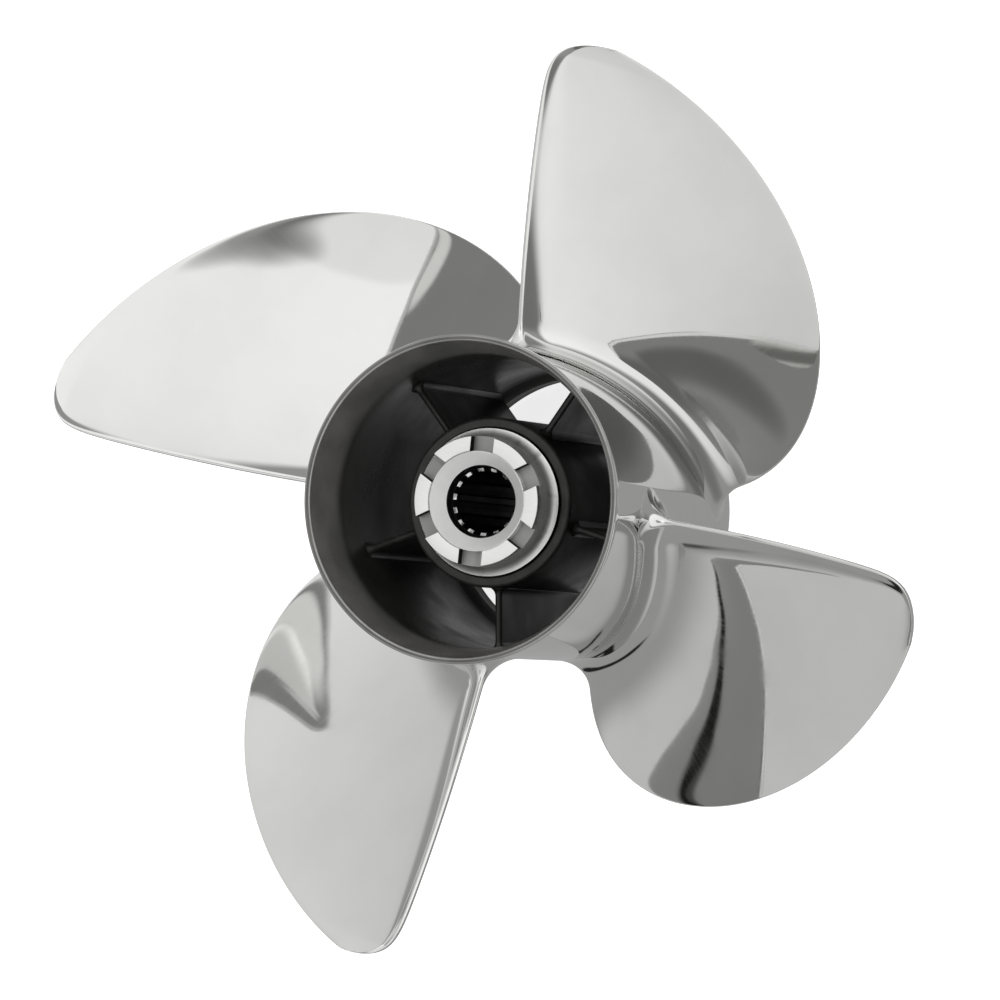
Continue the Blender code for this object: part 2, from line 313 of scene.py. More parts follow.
def store_wear(bm):
    """Store at each vertex how sharply the surface curves outward there, as 1 over a radius in mm."""
    bm.normal_update()
    layer = bm.verts.layers.float.new(WEAR_LAYER)
    for vert in bm.verts:
        sharpest = 0.0
        for edge in vert.link_edges:
            other = edge.other_vert(vert)
            step = other.co - vert.co
            bend = (other.normal - vert.normal).dot(step) / max(step.length_squared, 1e-12)
            sharpest = max(sharpest, bend)
        vert[layer] = min(sharpest * WEAR_SCALE, WEAR_LIMIT)


def new_piece(name, bm, node, sharp_angle=SHARP_ANGLE):
    """Make a smooth-shaded object of the mesh, riding on the frame in place of a CAD node."""
    bmesh.ops.remove_doubles(bm, verts=bm.verts, dist=MERGE_DISTANCE)
    bmesh.ops.recalc_face_normals(bm, faces=bm.faces)
    store_wear(bm)
    mesh = bpy.data.meshes.new(name)
    bm.to_mesh(mesh)
    bm.free()
    mesh.shade_smooth()
    mesh.set_sharp_from_angle(angle=math.radians(sharp_angle))
    piece = bpy.data.objects.new(name, mesh)
    bpy.context.scene.collection.objects.link(piece)
    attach(piece, "root")
    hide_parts(node)
    return piece


# Barrel, hub and ribs

def flare_points(tube_r, lip_r, length, top_z):
    """Points from the lip down to the straight tube, along a curve that starts tangent to the tube."""
    points = []
    for index in range(1, FLARE_STEPS + 1):
        height_share = 1 - index / FLARE_STEPS
        points.append((tube_r + (lip_r - tube_r) * height_share ** 2, top_z - length * (1 - height_share)))
    return points


def build_barrel():
    """Outer tube with a flared, rounded lip and a narrower land at the forward end."""
    lip_r = (LIP_OUTER_R - LIP_INNER_R) / 2
    lip_z = BARREL_LENGTH - lip_r
    lip = arc_points(LIP_INNER_R + lip_r, lip_z, lip_r, 180, 0, 2 * ARC_STEPS)
    outer_flare = flare_points(BARREL_OUTER_R, LIP_OUTER_R, OUTER_FLARE_LENGTH - lip_r, lip_z)
    inner_flare = flare_points(BARREL_INNER_R, LIP_INNER_R, INNER_FLARE_LENGTH - lip_r, lip_z)
    profile = lip + outer_flare
    profile += arc_points(BARREL_OUTER_R - RIM_ROUND, RIM_ROUND, RIM_ROUND, 0, -90)
    profile += arc_points(LAND_INNER_R + RIM_ROUND, RIM_ROUND, RIM_ROUND, -90, -180)
    profile += [
        (LAND_INNER_R, LAND_LENGTH),
        (BARREL_INNER_R, LAND_LENGTH + 2 * (BARREL_INNER_R - LAND_INNER_R)),
    ]
    profile += list(reversed(inner_flare))
    bm = bmesh.new()
    add_rings(bm, turned_rings(with_support(profile)))
    return new_piece("barrel_shell", bm, "hub_barrel")


def build_hub_tube():
    """Inner tube that holds the bushing, with rounded ends."""
    inner_round = HUB_TOP_ROUND / 2
    profile = [(HUB_INNER_R, HUB_TOP_Z - inner_round)]
    profile += arc_points(HUB_INNER_R + inner_round, HUB_TOP_Z - inner_round, inner_round, 180, 90)
    profile += arc_points(HUB_OUTER_R - HUB_TOP_ROUND, HUB_TOP_Z - HUB_TOP_ROUND, HUB_TOP_ROUND, 90, 0)
    profile += arc_points(HUB_OUTER_R - HUB_TOP_ROUND, HUB_BOTTOM_Z + HUB_TOP_ROUND, HUB_TOP_ROUND, 0, -90)
    profile += [(HUB_INNER_R, HUB_BOTTOM_Z)]
    bm = bmesh.new()
    add_rings(bm, turned_rings(with_support(profile)))
    return new_piece("hub_tube", bm, "inner_hub")


def corner_fillet(distance, radius):
    """How far a fillet of this radius rises at a distance from its wall."""
    if distance >= radius:
        return 0.0
    return radius - math.sqrt(radius ** 2 - (radius - max(distance, 0.0)) ** 2)


def rib_section(radius, half, low_z, high_z):
    """Rounded upright section of a rib, as (angle, height) on the cylinder of this radius."""
    outline = arc_points(0.0, high_z - half, half, 0, 180, RIB_END_STEPS)
    outline += arc_points(0.0, low_z + half, half, 180, 360, RIB_END_STEPS)
    return [(side / radius, height) for side, height in with_support(outline)]


def build_rib(index):
    """Radial plate from the inner tube to the outer one, filleted into both."""
    turn = math.radians(RIB_FIRST_ANGLE + index * 360 / RIB_COUNT)
    inner_wall, outer_wall = HUB_OUTER_R, BARREL_INNER_R
    fillet_steps = [RIB_FILLET * (1 - math.cos(math.radians(angle))) for angle in range(10, 91, 10)]
    distances = [-WALL_BITE, 0.0] + fillet_steps
    radii = [inner_wall + step for step in distances]
    radii += [(inner_wall + outer_wall) / 2]
    radii += [outer_wall - step for step in reversed(distances)]
    rings = []
    for radius in radii:
        near = min(radius - inner_wall, outer_wall - radius)
        rise = corner_fillet(max(near, RIB_LEAST_GAP), RIB_FILLET)
        half = RIB_THICKNESS / 2 + rise
        section = rib_section(radius, half, RIB_BOTTOM_Z, RIB_TOP_Z + rise / 2)
        rings.append(wrapped(section, radius, turn))
    bm = bmesh.new()
    verts = add_rings(bm, rings, closed=False)
    bm.faces.new(verts[0])
    bm.faces.new(verts[-1])
    return new_piece(f"rib_plate_{index + 1}", bm, f"rib_{index + 1}")


# Bushing, sleeve and collar

def flattened_moat():
    """Shallow hollow in the bushing's forward end, from its inner edge to its outer one."""
    waist = (BUSHING_OUTER_R + SLEEVE_OUTER_R) / 2
    hollow = (BUSHING_OUTER_R - SLEEVE_OUTER_R) / 2 - MOAT_MARGIN
    moat = arc_points(waist, BUSHING_BOTTOM_Z, hollow, 180, 0)
    return [(radius, BUSHING_BOTTOM_Z + (height - BUSHING_BOTTOM_Z) * MOAT_FLATNESS)
            for radius, height in moat]


def build_bushing():
    """Rubber ring between the sleeve and the inner tube."""
    profile = [
        (SLEEVE_OUTER_R, BUSHING_TOP_Z),
        (BUSHING_OUTER_R, BUSHING_TOP_Z),
        (BUSHING_OUTER_R, BUSHING_BOTTOM_Z),
    ]
    profile += list(reversed(flattened_moat()))
    profile += [(SLEEVE_OUTER_R, BUSHING_BOTTOM_Z)]
    bm = bmesh.new()
    add_rings(bm, turned_rings(profile))
    return new_piece("rubber_ring", bm, "rubber_bushing")


def spline_radius(angle, depth_share):
    """Bore radius at an angle: flat tooth tops, sloping flanks and flat roots."""
    pitch = 360 / SPLINE_COUNT
    phase = abs((math.degrees(angle) - SPLINE_FIRST_ANGLE + pitch / 2) % pitch - pitch / 2) / (pitch / 2)
    flank = min(max((phase - TOOTH_FLAT) / TOOTH_FLANK, 0.0), 1.0)
    tip_r = SPLINE_ROOT_R + (SPLINE_TIP_R - SPLINE_ROOT_R) * depth_share
    return tip_r + (SPLINE_ROOT_R - tip_r) * flank


def sleeve_outline():
    """The sleeve's countersunk mouth and outside, as (radius, height)."""
    top_z = COLLAR_TOP_Z - SLEEVE_SINK
    edge_r = SLEEVE_OUTER_R - SLEEVE_EDGE
    outline = [(SLEEVE_MOUTH_R, COLLAR_TOP_Z - MOUTH_DEPTH), (edge_r, top_z)]
    outline += arc_points(edge_r, top_z - SLEEVE_EDGE, SLEEVE_EDGE, 90, 0, EDGE_STEPS)
    outline += arc_points(edge_r, SLEEVE_BOTTOM_Z + SLEEVE_EDGE, SLEEVE_EDGE, 0, -90, EDGE_STEPS)
    return outline


def build_sleeve():
    """Drive sleeve with a countersunk mouth and a splined bore."""
    outside = sleeve_outline()
    bore = [
        (SLEEVE_BOTTOM_Z, SPLINE_FOOT_DEPTH),
        (SLEEVE_BOTTOM_Z + SPLINE_FOOT_SLOPE, 1.0),
        (SPLINE_TOP_Z - SPLINE_TOP_SLOPE, 1.0),
        (SPLINE_TOP_Z, 0.0),
    ]
    neck = [
        (SLEEVE_MOUTH_R, SPLINE_TOP_Z + SPLINE_TOP_STEP),
        (SLEEVE_MOUTH_R, COLLAR_TOP_Z - MOUTH_DEPTH - MOUTH_STEP),
    ]
    steps = SPLINE_COUNT * STEPS_PER_SPLINE
    rings = []
    for step in range(steps):
        angle = 2 * math.pi * step / steps
        splines = [(spline_radius(angle, share), height) for height, share in bore]
        rings.append(turned(with_support(outside + splines + neck), angle))
    bm = bmesh.new()
    add_rings(bm, rings)
    return new_piece("drive_sleeve", bm, "spline_sleeve", SLEEVE_SHARP_ANGLE)


def cove_points():
    """Elliptical hollow from the collar's neck to its shoulder, which ends a little before level."""
    cove_r = COLLAR_OUTER_R - COLLAR_FACE_R
    cove_z = COLLAR_NECK_Z - COLLAR_SHOULDER_Z
    end = math.radians(COVE_END_ANGLE)
    points = []
    for step in range(COVE_STEPS + 1):
        angle = end * step / COVE_STEPS
        across = (1 - math.cos(angle)) / (1 - math.cos(end))
        down = math.sin(angle) / math.sin(end)
        points.append((COLLAR_FACE_R + cove_r * across, COLLAR_NECK_Z - cove_z * down))
    return points


def collar_profile():
    """Closed (radius, height) outline of a full tooth and its cove, with points at the slot floor."""
    inner_r = SLEEVE_OUTER_R
    edge_z = COLLAR_TOP_Z - COLLAR_EDGE
    floor_z = COLLAR_TOP_Z - SLOT_DEPTH
    profile = [(inner_r, floor_z)]
    profile += arc_points(inner_r + COLLAR_EDGE, edge_z, COLLAR_EDGE, 180, 90, EDGE_STEPS)
    profile += arc_points(COLLAR_FACE_R - COLLAR_EDGE, edge_z, COLLAR_EDGE, 90, 0, EDGE_STEPS)
    profile.append((COLLAR_FACE_R, floor_z))
    profile += cove_points()
    profile += [(COLLAR_OUTER_R, COLLAR_SHOULDER_Z - COLLAR_FOOT_DROP), (COLLAR_OUTER_R, COLLAR_BOTTOM_Z)]
    profile += [(inner_r, COLLAR_BOTTOM_Z)]
    return profile


def collar_columns():
    """Columns round one tooth and the slot after it.

    Each is its place from wall to wall, whether it is in the slot, its lowering and its wall offset.
    """
    columns = []
    edge_steps = []
    for angle in (0, 30, 60, 90):
        turn = math.radians(angle)
        edge_steps.append((COLLAR_EDGE * (1 - math.cos(turn)), COLLAR_EDGE * (1 - math.sin(turn))))
    for lowering, offset in reversed(edge_steps):
        columns.append((0.0, False, lowering, offset))
    for step in range(1, TOOTH_STEPS):
        columns.append((step / TOOTH_STEPS, False, 0.0, 0.0))
    for lowering, offset in edge_steps:
        columns.append((1.0, False, lowering, offset))
    for step in range(SLOT_STEPS + 1):
        columns.append((step / SLOT_STEPS, True, SLOT_DEPTH, 0.0))
    return columns


def column_angle(radius, place, in_slot, offset):
    """Angle of a column from the middle of its slot, at a radius, in radians."""
    half_width = SLOT_WIDTH / 2
    if in_slot:
        wall = math.asin(half_width / radius)
        return -wall + 2 * wall * place
    wall = math.asin((half_width + offset) / radius)
    pitch = 2 * math.pi / SLOT_COUNT
    return wall + (pitch - 2 * wall) * place


def build_collar():
    """Castellated collar: a ring of teeth and slots above a hollow cove."""
    profile = collar_profile()
    columns = collar_columns()
    rings = []
    for slot in range(SLOT_COUNT):
        for place, in_slot, lowering, offset in columns:
            start = math.radians(SLOT_FIRST_ANGLE + (slot + in_slot) * 360 / SLOT_COUNT)
            ring = []
            for radius, height in profile:
                angle = start + column_angle(radius, place, in_slot, offset)
                low = min(height, COLLAR_TOP_Z - lowering)
                ring.append((radius * math.cos(angle), radius * math.sin(angle), low))
            rings.append(ring)
    bm = bmesh.new()
    add_rings(bm, rings)
    bmesh.ops.dissolve_degenerate(bm, dist=MERGE_DISTANCE, edges=bm.edges)
    return new_piece("castle_ring", bm, "castle_collar")


# Blades

def blade_edges(radius):
    """Share of the span, leading angle, trailing angle and reference angle at a radius."""
    span = (radius - BARREL_OUTER_R) / (TIP_RADIUS - BARREL_OUTER_R)
    reference = TRAILING_LEAD - TRAILING_TAPER * span
    leading = -LEADING_SWEEP * (1 - span ** LEADING_POWER) ** LEADING_ROUND
    trailing = reference * math.sqrt(1 - span ** TIP_ROUND_POWER)
    return span, leading, trailing, reference


def half_thickness(place, span, chord):
    """Half the blade's thickness at a place along its chord, from 0 at the leading edge to 1."""
    full = ROOT_THICKNESS + (TIP_THICKNESS - ROOT_THICKNESS) * span ** THICKNESS_POWER
    edge = LEADING_EDGE_THICKNESS + (TRAILING_EDGE_THICKNESS - LEADING_EDGE_THICKNESS) * place
    bulge = (4 * place * (1 - place)) ** BULGE_POWER
    return min(edge + (full - edge) * bulge, THICKEST_SHARE_OF_CHORD * chord) / 2


def mean_offset(place, chord):
    """How far the blade's middle surface lies forward of its chord."""
    camber = CAMBER_RATIO * chord * 4 * place * (1 - place)
    if place < CUP_START:
        cup = place / CUP_START
    else:
        cup = 1 - ((place - CUP_START) / (1 - CUP_START)) ** 2
    return camber + min(CUP_DEPTH, DEEPEST_CUP_SHARE_OF_CHORD * chord) * cup


def root_fillet(radius):
    """How far the root fillet swells the blade at a radius."""
    return corner_fillet(radius - BARREL_OUTER_R, ROOT_FILLET_R)


def edge_round(distance, radius):
    """Share of the half thickness left near an edge that ends in a round nose."""
    return math.sqrt(1 - (1 - min(distance / radius, 1.0)) ** 2)


def blade_section(radius):
    """Closed loop of (angle, height) points on the cylinder of this radius."""
    span, leading, trailing, reference = blade_edges(radius)
    pitch = PITCH_ROOT + (PITCH_TIP - PITCH_ROOT) * span ** PITCH_POWER
    slope = math.atan2(pitch, 2 * math.pi * radius)
    chord = math.radians(trailing - leading) * radius / math.cos(slope)
    fillet = root_fillet(radius)
    start_z = RAKE_ROOT_Z + RAKE_RISE * span + pitch * (leading - reference) / 360
    total = chord + 2 * fillet

    def point(distance, offset):
        """(angle, height) at a distance along the chord and an offset aft of it."""
        angle = math.radians(leading) + (distance * math.cos(slope) - offset * math.sin(slope)) / radius
        return (angle, start_z + distance * math.sin(slope) + offset * math.cos(slope))

    aft_side, forward_side = [], []
    for index in range(CHORD_POINTS + 1):
        along = total * (1 - math.cos(math.pi * index / CHORD_POINTS)) / 2
        reach = along - fillet
        place = min(max(reach / chord, 0.0), 1.0)
        half = half_thickness(place, span, chord) + fillet
        nose = half_thickness(round(place), span, chord) + fillet
        half *= edge_round(min(along, total - along), nose)
        middle = mean_offset(place, chord)
        aft_side.append(point(reach, half - middle))
        forward_side.append(point(reach, -half - middle))
    return aft_side + list(reversed(forward_side[1:-1]))


def blade_radii():
    """Stations along the span: an even arc through the root fillet, then closer towards the tip."""
    radii = [BARREL_OUTER_R + SKIN_LIFT]
    for index in range(1, FILLET_STATIONS + 1):
        turn = math.pi / 2 * index / FILLET_STATIONS
        radii.append(BARREL_OUTER_R + SKIN_LIFT + ROOT_FILLET_R * (1 - math.cos(turn)))
    start = radii[-1]
    for index in range(1, SPAN_STATIONS + 1):
        share = math.sin(math.pi / 2 * index / SPAN_STATIONS)
        radii.append(start + (BLADE_REACH - start) * share)
    return radii


def close_section(bm, ring):
    """Close a section loop with strips that follow the cylinder it lies on."""
    columns = []
    for index in range(1, CHORD_POINTS):
        aft, forward = ring[index], ring[-index]
        radius = math.hypot(aft.co.x, aft.co.y)
        start = math.atan2(aft.co.y, aft.co.x)
        sweep = (math.atan2(forward.co.y, forward.co.x) - start + math.pi) % (2 * math.pi) - math.pi
        column = [aft]
        for row in range(1, CAP_ROWS):
            angle = start + sweep * row / CAP_ROWS
            height = aft.co.z + (forward.co.z - aft.co.z) * row / CAP_ROWS
            column.append(bm.verts.new((radius * math.cos(angle), radius * math.sin(angle), height)))
        columns.append(column + [forward])
    for near, far in zip(columns, columns[1:]):
        for row in range(CAP_ROWS):
            bm.faces.new((near[row], near[row + 1], far[row + 1], far[row]))
    for nose, column in ((ring[0], columns[0]), (ring[CHORD_POINTS], columns[-1])):
        for row in range(CAP_ROWS):
            bm.faces.new((nose, column[row], column[row + 1]))


def build_blade(index):
    """Swept, raked blade from inside the barrel's wall out to the tip."""
    turn = math.radians(-index * 360 / BLADE_COUNT)
    radii = blade_radii()
    sections = [blade_section(radius) for radius in radii]
    buried = [(BARREL_OUTER_R - WALL_BITE, sections[0])]
    rings = [wrapped(section, radius, turn) for radius, section in buried + list(zip(radii, sections))]
    bm = bmesh.new()
    verts = add_rings(bm, rings, closed=False)
    close_section(bm, verts[0])
    close_section(bm, verts[-1])
    return new_piece(f"blade_skin_{index + 1}", bm, f"blade_{index + 1}",
                     BLADE_SHARP_ANGLE)


# Shader nodes

def add_node(tree, kind, settings=None, **sockets):
    """A shader node with its properties set, and its sockets set or linked by name."""
    node = tree.nodes.new("ShaderNode" + kind)
    for name, value in (settings or {}).items():
        setattr(node, name, value)
    for name, value in sockets.items():
        connect(tree, node.inputs[name.replace("_", " ")], value)
    return node


def connect(tree, socket, value):
    """Link a socket to another node's output, or give it a plain value."""
    if isinstance(value, bpy.types.NodeSocket):
        tree.links.new(value, socket)
    else:
        socket.default_value = value


def math_node(tree, operation, first, second=0.0):
    """The result of an operation on two numbers."""
    node = add_node(tree, "Math", {"operation": operation})
    connect(tree, node.inputs[0], first)
    connect(tree, node.inputs[1], second)
    return node.outputs[0]


def vector_node(tree, operation, first, second=(0.0, 0.0, 0.0)):
    """A vector operation's node, whose output depends on the operation."""
    node = add_node(tree, "VectorMath", {"operation": operation})
    connect(tree, node.inputs[0], first)
    connect(tree, node.inputs[1], second)
    return node


def ramp_node(tree, value, from_low, from_high, to_low, to_high):
    """A smooth step from one value to another."""
    limits = {"From Min": from_low, "From Max": from_high, "To Min": to_low, "To Max": to_high}
    node = add_node(tree, "MapRange", {"interpolation_type": "SMOOTHSTEP"}, Value=value)
    for name, limit in limits.items():
        node.inputs[name].default_value = limit
    return node.outputs["Result"]


def blend_node(tree, share, first, second):
    """A colour between two others."""
    node = add_node(tree, "Mix", {"data_type": "RGBA"})
    connect(tree, node.inputs[0], share)
    for socket, colour in zip(node.inputs[6:8], (first, second)):
        connect(tree, socket, colour if isinstance(colour, bpy.types.NodeSocket) else (*colour, 1.0))
    return node.outputs[2]


def noise_node(tree, vector, scale, detail=3.0):
    """Noise with the given number of grains to a unit of its vector."""
    return add_node(tree, "TexNoise", Vector=vector, Scale=scale, Detail=detail).outputs[0]


def bump_node(tree, height, depth, normal=None):
    """A bump as deep as depth metres, on top of another one."""
    node = add_node(tree, "Bump", Height=height, Distance=depth, Strength=1.0)
    if normal is not None:
        tree.links.new(normal, node.inputs["Normal"])
    return node.outputs["Normal"]


def object_place(tree):
    """Place on the part, in metres."""
    return add_node(tree, "TexCoord").outputs["Object"]


def flat_place(tree):
    """Place on the part with its height left out."""
    return vector_node(tree, "MULTIPLY", object_place(tree), (1.0, 1.0, 0.0)).outputs[0]


def shaft_height(tree):
    """Height along the shaft axis."""
    return add_node(tree, "SeparateXYZ", Vector=object_place(tree)).outputs["Z"]


def shaft_place(tree, around, outward, upward):
    """Place round the shaft axis, stretched by a factor around it, outward from it and along it."""
    flat = flat_place(tree)
    ring = vector_node(tree, "SCALE", vector_node(tree, "NORMALIZE", flat).outputs[0])
    ring.inputs["Scale"].default_value = around
    radius = vector_node(tree, "LENGTH", flat).outputs["Value"]
    height = shaft_height(tree)
    third = math_node(tree, "MULTIPLY", radius, outward)
    third = math_node(tree, "ADD", third, math_node(tree, "MULTIPLY", height, upward))
    lift = add_node(tree, "CombineXYZ", Z=third).outputs[0]
    return vector_node(tree, "ADD", ring.outputs[0], lift).outputs[0]


def edge_wear(tree):
    """How strongly an edge is worn, from the bend stored on the mesh and a patchy noise."""
    bend = add_node(tree, "Attribute", {"attribute_name": WEAR_LAYER}).outputs["Fac"]
    patchy = ramp_node(tree, noise_node(tree, object_place(tree), 180.0), 0.3, 0.7, 0.5, 1.0)
    return math_node(tree, "MULTIPLY", ramp_node(tree, bend, WEAR_START, WEAR_FULL, 0.0, 1.0), patchy)


# Materials

def new_material(name, colour, roughness, metallic):
    """A Principled material, with its node tree and shader."""
    material = bpy.data.materials.new(name)
    material.use_nodes = True
    shader = material.node_tree.nodes["Principled BSDF"]
    shader.inputs["Base Color"].default_value = (*colour, 1.0)
    shader.inputs["Roughness"].default_value = roughness
    shader.inputs["Metallic"].default_value = metallic
    return material, material.node_tree, shader


def polished_finish(name, around, outward, upward):
    """Mirror-polished stainless steel, with buffing lines, faint waves and smudges."""
    material, tree, shader = new_material(name, POLISHED_COLOUR, 0.04, 1.0)
    lines = shaft_place(tree, around, outward, upward)
    buffing = noise_node(tree, lines, 1.0, 4.0)
    waves = noise_node(tree, object_place(tree), 28.0, 1.0)
    smudges = noise_node(tree, object_place(tree), 34.0, 5.0)
    worn = edge_wear(tree)
    haze = ramp_node(tree, smudges, 0.48, 0.75, 0.0, 0.045)
    rough = math_node(tree, "ADD", ramp_node(tree, buffing, 0.3, 0.8, 0.025, 0.055), haze)
    rough = math_node(tree, "ADD", rough, math_node(tree, "MULTIPLY", worn, 0.14))
    tree.links.new(rough, shader.inputs["Roughness"])
    tone = blend_node(tree, ramp_node(tree, smudges, 0.35, 0.7, 0.0, 1.0), POLISHED_COLOUR, POLISHED_SHADE)
    tone = blend_node(tree, math_node(tree, "MULTIPLY", worn, 0.6), tone, WORN_EDGE_COLOUR)
    tree.links.new(tone, shader.inputs["Base Color"])
    normal = bump_node(tree, waves, WAVE_DEPTH)
    normal = bump_node(tree, buffing, BUFFING_DEPTH, normal)
    tree.links.new(normal, shader.inputs["Normal"])
    return material


def cast_finish(name, dark, light, roughness, metallic, rubbed=0.25, gloss=0.5, patch_scale=45.0):
    """Satin casting between two tones, with a fine cast grain, sooty runs and rubbed edges."""
    material, tree, shader = new_material(name, dark, roughness, metallic)
    shader.inputs["Specular IOR Level"].default_value = gloss
    place = object_place(tree)
    grain = noise_node(tree, place, 1100.0, 3.0)
    patches = noise_node(tree, place, patch_scale, 6.0)
    runs = noise_node(tree, shaft_place(tree, 7.0, 1.0, 260.0), 1.0, 3.0)
    worn = edge_wear(tree)
    tone = blend_node(tree, ramp_node(tree, patches, 0.3, 0.72, 0.0, 1.0), dark, light)
    tone = blend_node(tree, ramp_node(tree, runs, 0.55, 0.8, 0.0, 0.35), tone, SOOT_COLOUR)
    tone = blend_node(tree, math_node(tree, "MULTIPLY", worn, rubbed), tone, RUBBED_COLOUR)
    tree.links.new(tone, shader.inputs["Base Color"])
    rough = math_node(tree, "ADD", ramp_node(tree, patches, 0.3, 0.7, -0.07, 0.09), roughness)
    rough = math_node(tree, "SUBTRACT", rough, math_node(tree, "MULTIPLY", worn, 0.12))
    tree.links.new(rough, shader.inputs["Roughness"])
    normal = bump_node(tree, patches, 0.00012)
    normal = bump_node(tree, grain, 0.00003, normal)
    tree.links.new(normal, shader.inputs["Normal"])
    return material


def depth_shaded_finish(name, roughness, rubbed, gloss):
    """Near-black casting whose gloss falls deeper down as painted shade, and stays up further down on the
    two sides in line with the light, as painted light.

    The socket's own value lies within that range, for viewers that can't vary it.
    """
    material = cast_finish(name, CASTING_DARK, CASTING_LIGHT, roughness, 0.0, rubbed, gloss * SOCKET_GLOSS_SHARE)
    tree = material.node_tree
    height = shaft_height(tree)
    outward = vector_node(tree, "NORMALIZE", flat_place(tree)).outputs[0]
    side = math_node(tree, "ABSOLUTE", facing(tree, outward, *LIT_SIDE))
    # Painted light: gloss kept up further down on the two sides in line with the light
    lit_sheen = math_node(tree, "MULTIPLY", ramp_node(tree, side, 0.35, 0.9, 0.0, gloss),
                      ramp_node(tree, height, LIT_START_Z, LIT_END_Z, SHADED_GLOSS_SHARE, 1.0))
    # Painted shade: gloss falls deeper down
    painted_sheen = ramp_node(tree, height, DEEP_START_Z, DEEP_END_Z, gloss * SHADED_GLOSS_SHARE, gloss)
    painted_sheen = math_node(tree, "MAXIMUM", painted_sheen, lit_sheen)
    tree.links.new(painted_sheen, tree.nodes["Principled BSDF"].inputs["Specular IOR Level"])
    return material


def inside_finish():
    """The barrel's inside: near-black casting that pales to satin grey in the flared mouth."""
    material = depth_shaded_finish("dark_casting_mouth", 0.34, 0.25, 0.5)
    tree = material.node_tree
    colour = tree.nodes["Principled BSDF"].inputs["Base Color"]
    height = shaft_height(tree)
    share = ramp_node(tree, height, MOUTH_START_Z, MOUTH_FULL_Z, 0.0, 1.0)
    patches = noise_node(tree, object_place(tree), 60.0, 6.0)
    satin = blend_node(tree, ramp_node(tree, patches, 0.3, 0.72, 0.0, 1.0), MOUTH_DARK, MOUTH_LIGHT)
    tree.links.new(blend_node(tree, share, colour.links[0].from_socket, satin), colour)
    return material


def turned_finish(name, light, dark, roughness, outward, upward):
    """Lathe-turned steel: rings of tool marks round the shaft axis, and a soft directional gloss."""
    material, tree, shader = new_material(name, light, roughness, TURNED_METAL)
    rings = noise_node(tree, shaft_place(tree, 0.6, outward, upward), 1.0, 4.0)
    stains = noise_node(tree, object_place(tree), 160.0, 4.0)
    worn = edge_wear(tree)
    tone = blend_node(tree, ramp_node(tree, rings, 0.25, 0.75, 0.0, 0.35), light, dark)
    tone = blend_node(tree, ramp_node(tree, stains, 0.5, 0.8, 0.0, 0.5), tone, dark)
    tone = blend_node(tree, math_node(tree, "MULTIPLY", worn, 0.5), tone, WORN_EDGE_COLOUR)
    tree.links.new(tone, shader.inputs["Base Color"])
    rough = math_node(tree, "ADD", ramp_node(tree, rings, 0.3, 0.7, -0.05, 0.07), roughness)
    tree.links.new(rough, shader.inputs["Roughness"])
    tree.links.new(bump_node(tree, rings, 0.0000025), shader.inputs["Normal"])
    shader.inputs["Anisotropic"].default_value = 0.3
    tangent = add_node(tree, "Tangent", {"direction_type": "RADIAL", "axis": "Z"}).outputs[0]
    tree.links.new(tangent, shader.inputs["Tangent"])
    return material


def ground_finish():
    """Bright ground faces of the castle teeth, with fine straight grinding lines."""
    material, tree, shader = new_material("ground_tooth_face", GROUND_COLOUR, 0.34, 0.75)
    lines = vector_node(tree, "MULTIPLY", object_place(tree), (2600.0, 160.0, 400.0)).outputs[0]
    grinding = noise_node(tree, lines, 1.0, 3.0)
    stains = noise_node(tree, object_place(tree), 220.0, 4.0)
    tone = blend_node(tree, ramp_node(tree, grinding, 0.3, 0.75, 0.0, 0.4), GROUND_COLOUR, TURNED_COLOUR)
    tone = blend_node(tree, ramp_node(tree, stains, 0.6, 0.85, 0.0, 0.5), tone, TURNED_SHADE)
    tree.links.new(tone, shader.inputs["Base Color"])
    rough = ramp_node(tree, grinding, 0.3, 0.7, 0.28, 0.44)
    tree.links.new(rough, shader.inputs["Roughness"])
    tree.links.new(bump_node(tree, grinding, 0.000008), shader.inputs["Normal"])
    return material


def rubber_finish():
    """Moulded black rubber with a fine bloom."""
    material, tree, shader = new_material("bushing_rubber_finish", RUBBER_COLOUR, 0.7, 0.0)
    place = object_place(tree)
    bloom = noise_node(tree, place, 90.0, 5.0)
    grain = noise_node(tree, place, 1600.0, 2.0)
    tone = blend_node(tree, ramp_node(tree, bloom, 0.35, 0.75, 0.0, 1.0), RUBBER_COLOUR, RUBBER_BLOOM)
    tree.links.new(tone, shader.inputs["Base Color"])
    tree.links.new(ramp_node(tree, bloom, 0.3, 0.7, 0.6, 0.82), shader.inputs["Roughness"])
    tree.links.new(bump_node(tree, grain, 0.00003), shader.inputs["Normal"])
    return material


# Stage

def build_camera():
    """Camera at the photograph's viewing angle."""
    data = bpy.data.cameras.new("camera")
    data.sensor_width = CAMERA_SENSOR
    data.lens = CAMERA_LENS
    data.clip_end = CAMERA_CLIP_END
    camera = bpy.data.objects.new("camera", data)
    bpy.context.scene.collection.objects.link(camera)
    tilt, azimuth = math.radians(CAMERA_TILT), math.radians(CAMERA_AZIMUTH)
    back = Vector((math.sin(tilt) * math.cos(azimuth), math.sin(tilt) * math.sin(azimuth), math.cos(tilt)))
    camera.location = Vector(CAMERA_TARGET) + back * CAMERA_DISTANCE
    camera.rotation_mode = "QUATERNION"
    roll = Quaternion((0, 0, 1), math.radians(-CAMERA_ROLL))
    camera.rotation_quaternion = (-back).to_track_quat("-Z", "Y") @ roll
    bpy.context.scene.camera = camera


